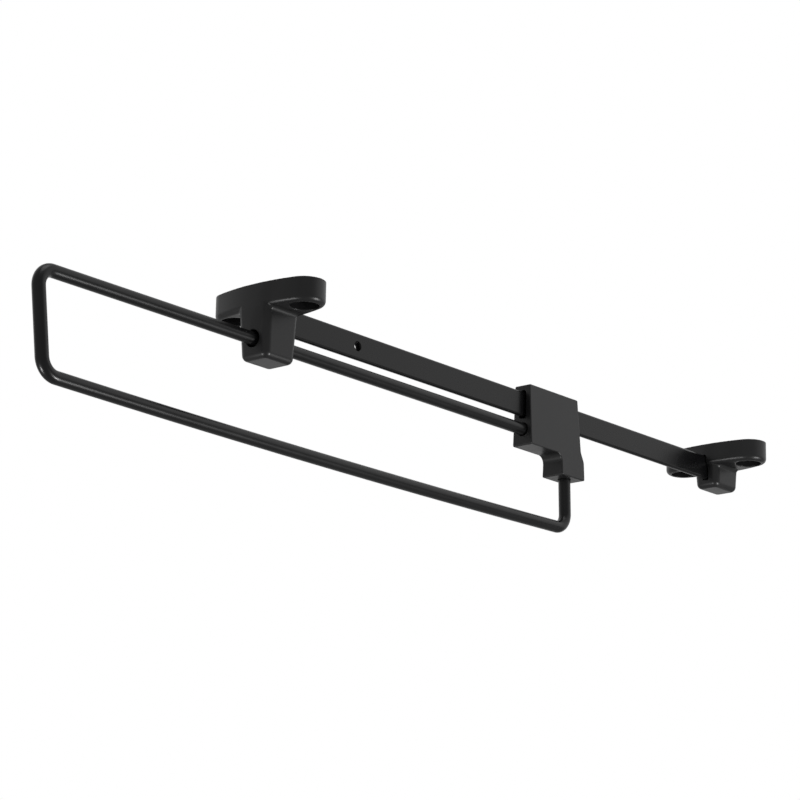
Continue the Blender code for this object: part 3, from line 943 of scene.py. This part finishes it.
@dataclass
class GuideBar:
    """A flat steel bar with round edges and one cross hole, narrow behind its wide mouth."""

    edge_radius: float = 1.5 * MM
    edge_steps: int = 8
    hole_y: float = 71.5 * MM
    mouth_radius: float = 3 * MM
    mouth_depth: float = 2.3 * MM
    mouth_ease: float = 0.15 * MM
    hole_radius: float = 1.45 * MM
    overcut: float = 2 * MM
    sharp: float = 30.0  # degrees

    def build(self) -> Object:
        """Build the bar.

        Returns:
            The bar with its cross hole and pin holes.
        """
        shape = bmesh.new()
        bmesh.ops.create_cube(shape, size=1.0)
        size = BAR_HIGH - BAR_LOW
        for vert in shape.verts:
            vert.co = BAR_MID + Vector(c * s for c, s in zip(vert.co, size))
        bmesh.ops.bevel(shape, geom=shape.edges[:], offset=self.edge_radius, segments=self.edge_steps,
                        profile=0.5, affect="EDGES", clamp_overlap=True)
        bar = keep_mesh("guide_bar_rolled", shape)

        face, far = BAR_HIGH.x, BAR_HIGH.x + self.overcut
        wide, floor = self.mouth_radius, face - self.mouth_depth
        profile = [(-far, self.hole_radius), (floor, self.hole_radius), (floor, wide - self.mouth_ease),
                   (face - self.mouth_ease, wide - self.mouth_ease), (face, wide), (far, wide + self.overcut)]
        cut(bar, [turned_cutter("cross_hole", profile, self.hole_y, BAR_MID.z), *pin_cutters(BAR_PINS, far)])
        shade(bar, self.sharp)
        even = bar.modifiers.new("even_normals", "WEIGHTED_NORMAL")
        even.keep_sharp = True
        settle(bar)
        return bar


def start_tree(name: str, inputs: dict[str, str]) -> tuple[Tree, bpy.types.NodeOutputs]:
    """Start a geometry tree that takes a path.

    Args:
        name: Name of the tree.
        inputs: Kind of each named input that follows the path.

    Returns:
        The tree, and the sockets that hand out its inputs.
    """
    tree = bpy.data.node_groups.new(name, "GeometryNodeTree")
    tree.interface.new_socket("Geometry", in_out="OUTPUT", socket_type="NodeSocketGeometry")
    for key, kind in {"Path": "Geometry", **inputs}.items():
        tree.interface.new_socket(key, in_out="INPUT", socket_type="NodeSocket" + kind)
    return tree, add_node(tree, "NodeGroupInput").outputs


def end_tree(tree: Tree, mesh: Socket, material: Socket) -> None:
    """Make a tree's mesh real, give it its material and hand it out.

    Args:
        tree: Geometry tree.
        mesh: The mesh.
        material: Its material.
    """
    real = add_node(tree, "GeometryNodeRealizeInstances", {"Geometry": mesh})
    dressed = add_node(tree, "GeometryNodeSetMaterial", {
        "Geometry": real.outputs["Geometry"], "Material": material})
    add_node(tree, "NodeGroupOutput", {"Geometry": dressed.outputs["Geometry"]})


def grow(item: Object, tree: Tree, values: dict[str, object]) -> None:
    """Run a geometry tree on a seed object and keep the result as its plain mesh.

    Args:
        item: Seed object.
        tree: Geometry tree.
        values: Value of each of the tree's named inputs.
    """
    step = item.modifiers.new(tree.name, "NODES")
    step.node_group = tree
    sockets = {socket.name: socket.identifier for socket in tree.interface.items_tree
               if socket.in_out == "INPUT"}
    for name, value in values.items():
        step[sockets[name]] = value
    settle(item)


def path_object(name: str, points: list[tuple[float, float, float]]) -> Object:
    """An object of points joined in a row by edges.

    Args:
        name: Name of the object.
        points: Points along the path.

    Returns:
        The new object.
    """
    shape = bpy.data.meshes.new(name)
    shape.from_pydata(points, [(index, index + 1) for index in range(len(points) - 1)], [])
    return new_object(name, shape)


@dataclass
class HangerLoop:
    """One steel wire bent into a long loop whose lower run bows a little under its own spring."""

    radius_name: ClassVar[str] = "bend_radius"
    hump_height: ClassVar[float] = 0.25  # of share times rest, at the middle of a run
    front_corner: float = -171.5 * MM
    front_foot: float = -164.5 * MM
    foot_z: float = -84.7 * MM
    rear_y: float = 266 * MM
    rear_z: float = -83.5 * MM
    rear_lean: float = 1 * MM  # the rear upright's foot behind its head
    head_z: float = -52.7 * MM
    upper_end: float = 248.2 * MM
    lower_end: float = -33 * MM
    bends: tuple[float, ...] = (0, 8.8 * MM, 10.2 * MM, 8.8 * MM, 40 * MM, 0)
    sag: float = 1.8 * MM
    ring_spacing: float = 1 * MM
    round_sides: int = 40
    bend_steps: int = 24
    sharp: float = 40.0  # degrees

    def tree(self) -> Tree:
        """Build the tree that bends, bows and sweeps a wire along a path of straight runs.

        Returns:
            The geometry tree.
        """
        lengths = ("Wire Radius", "Sag", "Run Front", "Run Rear", "Mid Height", "Ring Spacing")
        tree, sizes = start_tree("bent_wire", {
            **dict.fromkeys(lengths, "Float"), "Round Sides": "Int", "Bend Steps": "Int", "Coat": "Material"})

        runs = add_node(tree, "GeometryNodeMeshToCurve", {"Mesh": sizes["Path"]})
        radius = add_node(tree, "GeometryNodeInputNamedAttribute", {"Name": self.radius_name},
                          data_type="FLOAT")
        bent = add_node(tree, "GeometryNodeFilletCurve", {
            "Curve": runs.outputs["Curve"], "Count": sizes["Bend Steps"],
            "Radius": radius.outputs["Attribute"]}, mode="POLY")
        rings = add_node(tree, "GeometryNodeResampleCurve", {
            "Curve": bent.outputs["Curve"], "Length": sizes["Ring Spacing"]}, mode="LENGTH")

        place = add_node(tree, "GeometryNodeInputPosition")
        split = add_node(tree, "ShaderNodeSeparateXYZ", {0: place.outputs["Position"]})
        share = add_node(tree, "ShaderNodeMapRange", {
            "Value": split.outputs["Y"], "From Min": sizes["Run Front"],
            "From Max": sizes["Run Rear"]}).outputs["Result"]
        rest = add_node(tree, "ShaderNodeMath", {0: 1.0, 1: share}, operation="SUBTRACT")
        hump = add_node(tree, "ShaderNodeMath", {0: share, 1: rest.outputs[0]}, operation="MULTIPLY")
        depth = add_node(tree, "ShaderNodeMath", {0: sizes["Sag"], 1: -1 / self.hump_height},
                         operation="MULTIPLY")
        drop = add_node(tree, "ShaderNodeMath", {0: hump.outputs[0], 1: depth.outputs[0]},
                        operation="MULTIPLY")
        lower = add_node(tree, "FunctionNodeCompare", {0: split.outputs["Z"], 1: sizes["Mid Height"]},
                         data_type="FLOAT", operation="LESS_THAN")
        offset = add_node(tree, "ShaderNodeCombineXYZ", {"Z": drop.outputs[0]})
        bowed = add_node(tree, "GeometryNodeSetPosition", {
            "Geometry": rings.outputs["Curve"], "Selection": lower.outputs["Result"],
            "Offset": offset.outputs["Vector"]})

        outline = add_node(tree, "GeometryNodeCurvePrimitiveCircle", {
            "Resolution": sizes["Round Sides"], "Radius": sizes["Wire Radius"]})
        swept = add_node(tree, "GeometryNodeCurveToMesh", {
            "Curve": bowed.outputs["Geometry"], "Profile Curve": outline.outputs["Curve"],
            "Fill Caps": True})
        end_tree(tree, swept.outputs["Mesh"], sizes["Coat"])
        return tree

    def build(self, coat: Material) -> Object:
        """Build the loop.

        Args:
            coat: Material of the wire.

        Returns:
            The loop, with holes for its two pins.
        """
        loop = path_object("hanger_loop_wire", [
            (0, self.upper_end, WIRE_Z), (0, self.front_corner, WIRE_Z), (0, self.front_foot, self.foot_z),
            (0, self.rear_y + self.rear_lean, self.rear_z), (0, self.rear_y, self.head_z),
            (0, self.rear_y, self.lower_end)])
        radius = loop.data.attributes.new(self.radius_name, "FLOAT", "POINT")
        radius.data.foreach_set("value", self.bends)
        grow(loop, self.tree(), {
            "Wire Radius": WIRE_RADIUS, "Sag": self.sag, "Run Front": self.front_foot,
            "Run Rear": self.rear_y, "Mid Height": (WIRE_Z + self.foot_z) / 2,
            "Ring Spacing": self.ring_spacing, "Round Sides": self.round_sides,
            "Bend Steps": self.bend_steps, "Coat": coat})
        cut(loop, pin_cutters(LOOP_PINS, 2 * WIRE_RADIUS))
        shade(loop, self.sharp)
        return loop


@dataclass
class CrossPin:
    """A headless dowel pin with turned-down ends."""

    tree_name: ClassVar[str] = "dowel_pin"
    chamfer: float = 0.35 * MM
    round_sides: int = 32
    sharp: float = 30.0  # degrees

    def tree(self) -> Tree:
        """Build the tree that turns a row of four points into a pin with chamfered ends.

        Returns:
            The geometry tree.
        """
        tree, sizes = start_tree(self.tree_name, {
            "Pin Radius": "Float", "End Radius": "Float", "Round Sides": "Int", "Plate": "Material"})
        axis = add_node(tree, "GeometryNodeMeshToCurve", {"Mesh": sizes["Path"]})
        ends = add_node(tree, "GeometryNodeCurveEndpointSelection")
        radius = add_node(tree, "GeometryNodeSwitch", {
            "Switch": ends.outputs["Selection"], "False": sizes["Pin Radius"], "True": sizes["End Radius"]},
            input_type="FLOAT")
        outline = add_node(tree, "GeometryNodeCurvePrimitiveCircle", {
            "Resolution": sizes["Round Sides"], "Radius": 1.0})
        swept = add_node(tree, "GeometryNodeCurveToMesh", {
            "Curve": axis.outputs["Curve"], "Profile Curve": outline.outputs["Curve"],
            "Scale": radius.outputs["Output"], "Fill Caps": True})
        end_tree(tree, swept.outputs["Mesh"], sizes["Plate"])
        return tree

    def build(self, node: str, plate: Material) -> Object:
        """Build a pin.

        Args:
            node: CAD node that the pin stands for.
            plate: Material of the pin.

        Returns:
            The pin.
        """
        tree = bpy.data.node_groups.get(self.tree_name) or self.tree()
        low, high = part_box(node)
        y, z, radius = (low.y + high.y) / 2, (low.z + high.z) / 2, (high.z - low.z) / 2
        stops = (low.x, low.x + self.chamfer, high.x - self.chamfer, high.x)
        pin = path_object(node + "_dowel", [(x, y, z) for x in stops])
        grow(pin, tree, {"Pin Radius": radius, "End Radius": radius - self.chamfer,
                         "Round Sides": self.round_sides, "Plate": plate})
        shade(pin, self.sharp)
        return pin


@dataclass
class Assembly(ABC):
    """Pieces that move together, and their finishes."""

    body: ClassVar[Body]
    materials: dict[Slot, Material]
    pin: CrossPin = field(default_factory=CrossPin)

    def dress(self, item: Object, node: str, slot: Slot) -> None:
        """Give a piece its finish and its body, and hide the node that it stands for.

        Args:
            item: Finished piece.
            node: CAD node that it replaces.
            slot: The record's slot of its finish.
        """
        item.data.materials.clear()
        item.data.materials.append(self.materials[slot])
        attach(item, self.body.value)
        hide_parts(node)
        faces = len(item.data.polygons)
        LOG.info("%s stands for %s on %s: %d faces", item.name, node, self.body.value, faces)

    def dress_pins(self, nodes: tuple[str, ...]) -> None:
        """Build and dress the cross pins that stand for some nodes."""
        for node in nodes:
            self.dress(self.pin.build(node, self.materials[Slot.PIN_STEEL]), node, Slot.PIN_STEEL)

    @abstractmethod
    def build(self) -> None:
        """Build and dress every piece."""


@dataclass
class FixedFrame(Assembly):
    """Bar, brackets, bush and bar pins: what stays with the shelf."""

    body: ClassVar[Body] = Body.FRAME
    front: WireBracket = field(default_factory=lambda: WireBracket(
        node="front_bracket", screw_line=0.0, foot_z=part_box("front_bracket")[0].z,
        foot_half_width=9.7 * MM, block_front=14.5 * MM, front_draft=math.radians(3.1),
        block_back=11.6 * MM, back_draft=math.radians(1.5), pin="front_bar_pin"))
    rear: Bracket = field(default_factory=lambda: Bracket(
        node="rear_bracket", screw_line=429.3 * MM, foot_z=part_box("rear_bracket")[0].z,
        foot_half_width=8.3 * MM, block_front=12.8 * MM, front_draft=math.radians(4),
        block_back=13 * MM, back_draft=math.radians(2), pin="rear_bar_pin"))
    bar: GuideBar = field(default_factory=GuideBar)
    bush: RodBush = field(default_factory=RodBush)

    def build(self) -> None:
        """Build and dress the fixed pieces."""
        self.dress(self.bar.build(), "guide_bar", Slot.BAR_COAT)
        self.dress(self.front.build(), "front_bracket", Slot.MOULDING)
        self.dress(self.rear.build(), "rear_bracket", Slot.MOULDING)
        self.dress(self.bush.build(), "rod_bush", Slot.GLIDE)
        self.dress_pins(BAR_PINS)


@dataclass
class Carriage(Assembly):
    """Slider, sleeve, loop and loop pins: what pulls out."""

    body: ClassVar[Body] = Body.CARRIAGE
    slider: SliderBody = field(default_factory=SliderBody)
    sleeve: GlideSleeve = field(default_factory=GlideSleeve)
    loop: HangerLoop = field(default_factory=HangerLoop)

    def build(self) -> None:
        """Build and dress the sliding pieces."""
        self.dress(self.slider.build(), "slider_body", Slot.MOULDING)
        self.dress(self.sleeve.build(), "glide_sleeve", Slot.GLIDE)
        self.dress(self.loop.build(self.materials[Slot.WIRE_COAT]), "hanger_loop", Slot.WIRE_COAT)
        self.dress_pins(LOOP_PINS)


@dataclass(frozen=True)
class Softbox:
    """A square lamp that faces the rail, placed by its bearing from the front and its height angle."""

    name: str
    bearing: float
    height: float
    distance: float
    size: float
    power: float

    def place(self, target: Vector) -> None:
        """Put the lamp in the scene.

        Args:
            target: Point that it faces.
        """
        lamp = bpy.data.lights.new(self.name, "AREA")
        lamp.size, lamp.energy = self.size, self.power
        item = bpy.data.objects.new(self.name, lamp)
        away = toward(self.bearing, self.height)
        item.location = target + away * self.distance
        item.rotation_euler = away.to_track_quat("Z", "Y").to_euler()
        item.visible_camera = False
        bpy.context.scene.collection.objects.link(item)


@dataclass
class Studio:
    """Pale floor, white backdrop in a dim room, soft lamps and the camera."""

    floor_z: float = -1.6
    floor_size: float = 60.0
    floor_colour: str = "#dededc"
    floor_rough: float = 0.9
    white: str = "#ffffff"
    ambient: float = 0.75
    full: float = 1.0  # shows as white
    surround_radius: float = 1.52
    surround_sides: int = 48
    backdrop_bearing: float = 200.0
    backdrop_edge: tuple[float, float] = (-0.42, -0.02)
    backdrop_top: tuple[float, float] = (1.2, 0.5)  # it fades out upwards
    backdrop_foot: tuple[float, float] = (0.02, 0.18)
    backdrop_lean: tuple[float, float] = (-0.257, 0.306)  # its foot sinks away from the camera
    backdrop_level: float = 0.82
    room_bearing: float = -40.0
    room_span: tuple[float, float] = (0.95, -0.5)  # from that bearing to behind it
    room_levels: tuple[float, float] = (0.36, 0.27)  # at both ends of that span
    target: tuple[float, float, float] = (0.0, 0.13, -0.045)
    lamps: tuple[Softbox, ...] = (
        Softbox("left_softbox", bearing=-20, height=-40, distance=1.35, size=0.22, power=6.5),
        Softbox("right_softbox", bearing=112, height=-34, distance=1.35, size=0.22, power=11.5),
        Softbox("top_softbox", bearing=60, height=70, distance=1.35, size=0.9, power=4.0),
    )
    lens: float = 135.0
    camera_place: tuple[float, float, float] = (1.06211, -1.14525, -0.4868)
    camera_bearing: float = 40.22
    camera_height: float = -15.28
    camera_roll: float = 1.07

    def build(self) -> None:
        """Build the surroundings."""
        self.light_world()
        self.lay_floor()
        self.hang_surround()
        for lamp in self.lamps:
            lamp.place(Vector(self.target))
        self.aim_camera()
        bpy.context.scene.view_settings.view_transform = "Standard"

    def light_world(self) -> None:
        """Make a surround that shows white and lights softly."""
        world = bpy.data.worlds.new("white_surround")
        world.use_nodes = True
        bpy.context.scene.world = world
        tree = world.node_tree
        tree.nodes.clear()
        path = add_node(tree, "ShaderNodeLightPath").outputs
        seen = path["Is Camera Ray"]
        for ray in ("Is Glossy Ray", "Is Transmission Ray"):
            seen = add_node(tree, "ShaderNodeMath", {0: seen, 1: path[ray]}, operation="MAXIMUM").outputs[0]
        soft, full = (add_node(tree, "ShaderNodeBackground", {
            "Color": linear(self.white), "Strength": strength}) for strength in (self.ambient, self.full))
        both = add_node(tree, "ShaderNodeMixShader", {0: seen, 1: soft.outputs[0], 2: full.outputs[0]})
        add_node(tree, "ShaderNodeOutputWorld", {"Surface": both.outputs[0]})

    def lay_floor(self) -> None:
        """Lay a plain pale floor well below the rail."""
        half = self.floor_size / 2
        corners = [(x * half, y * half, self.floor_z) for x, y in ((-1, -1), (1, -1), (1, 1), (-1, 1))]
        shape = bpy.data.meshes.new("floor")
        shape.from_pydata(corners, [], [(0, 1, 2, 3)])
        floor = new_object("floor", shape)
        material = bpy.data.materials.new("pale_studio_paint")
        material.use_nodes = True
        shader = material.node_tree.nodes["Principled BSDF"]
        shader.inputs["Base Color"].default_value = linear(self.floor_colour)
        shader.inputs["Roughness"].default_value = self.floor_rough
        shape.materials.append(material)

    def backdrop_light(self) -> Material:
        """Make the light of a backdrop with soft edges, in a dim room.

        Returns:
            The material that gives that light off.
        """
        material = bpy.data.materials.new("lit_backdrop_in_dim_room")
        material.use_nodes = True
        tree = material.node_tree
        tree.nodes.clear()
        places = add_node(tree, "ShaderNodeTexCoord").outputs["Object"]
        away = add_node(tree, "ShaderNodeVectorMath", {0: places, 1: self.target}, operation="SUBTRACT")
        unit = add_node(tree, "ShaderNodeVectorMath", {0: away.outputs[0]}, operation="NORMALIZE")
        lit: Socket | float = 1.0
        for way, span in ((toward(self.backdrop_bearing), self.backdrop_edge),
                          (Vector((0.0, 0.0, 1.0)), self.backdrop_top),
                          (Vector((*self.backdrop_lean, 1.0)), self.backdrop_foot)):
            facing = add_node(tree, "ShaderNodeVectorMath", {0: unit.outputs[0], 1: way},
                              operation="DOT_PRODUCT")
            step = add_node(tree, "ShaderNodeMapRange", {
                "Value": facing.outputs["Value"], "From Min": span[0], "From Max": span[1]},
                interpolation_type="SMOOTHSTEP")
            share = add_node(tree, "ShaderNodeMath", {0: lit, 1: step.outputs["Result"]},
                             operation="MULTIPLY")
            lit = share.outputs[0]
        depth = add_node(tree, "ShaderNodeVectorMath", {
            0: unit.outputs[0], 1: toward(self.room_bearing)}, operation="DOT_PRODUCT")
        room = add_node(tree, "ShaderNodeMapRange", {
            "Value": depth.outputs["Value"], "From Min": self.room_span[0], "From Max": self.room_span[1],
            "To Min": self.room_levels[0], "To Max": self.room_levels[1]})
        level = add_node(tree, "ShaderNodeMix", {
            "Factor": lit, "A": room.outputs["Result"], "B": self.backdrop_level})
        glow = add_node(tree, "ShaderNodeEmission", {
            "Color": linear(self.white), "Strength": level.outputs[0]})
        add_node(tree, "ShaderNodeOutputMaterial", {"Surface": glow.outputs[0]})
        return material

    def hang_surround(self) -> None:
        """Hang the lit backdrop and the dim room round it, which only reflections meet."""
        ball = bmesh.new()
        bmesh.ops.create_uvsphere(ball, u_segments=self.surround_sides, v_segments=self.surround_sides // 2,
                                  radius=self.surround_radius)
        bmesh.ops.translate(ball, vec=self.target, verts=ball.verts)
        bmesh.ops.reverse_faces(ball, faces=ball.faces)
        surround = keep_mesh("studio_surround", ball)
        surround.data.materials.append(self.backdrop_light())
        surround.visible_camera = surround.visible_diffuse = surround.visible_shadow = False
        surround.visible_transmission = False

    def aim_camera(self) -> None:
        """Set the camera at the photograph's place and angle."""
        back, right = toward(self.camera_bearing, self.camera_height), toward(self.camera_bearing + 90)
        up = back.cross(right)
        roll = math.radians(self.camera_roll)
        level, tilt = math.cos(roll), math.sin(roll)
        right, up = level * right + tilt * up, level * up - tilt * right
        lens = bpy.data.cameras.new("photograph_camera")
        lens.lens = self.lens
        camera = bpy.data.objects.new("photograph_camera", lens)
        turn = Matrix((right, up, back)).transposed().to_4x4()
        camera.matrix_world = Matrix.Translation(Vector(self.camera_place)) @ turn
        bpy.context.scene.collection.objects.link(camera)
        bpy.context.scene.camera = camera


def main() -> None:
    """Build the rail and the studio round it."""
    logging.basicConfig(level=logging.INFO, format="%(message)s")
    materials = {slot: finish.material() for slot, finish in FINISHES.items()}
    FixedFrame(materials).build()
    Carriage(materials).build()
    Studio().build()


if __name__ == "__main__":
    main()
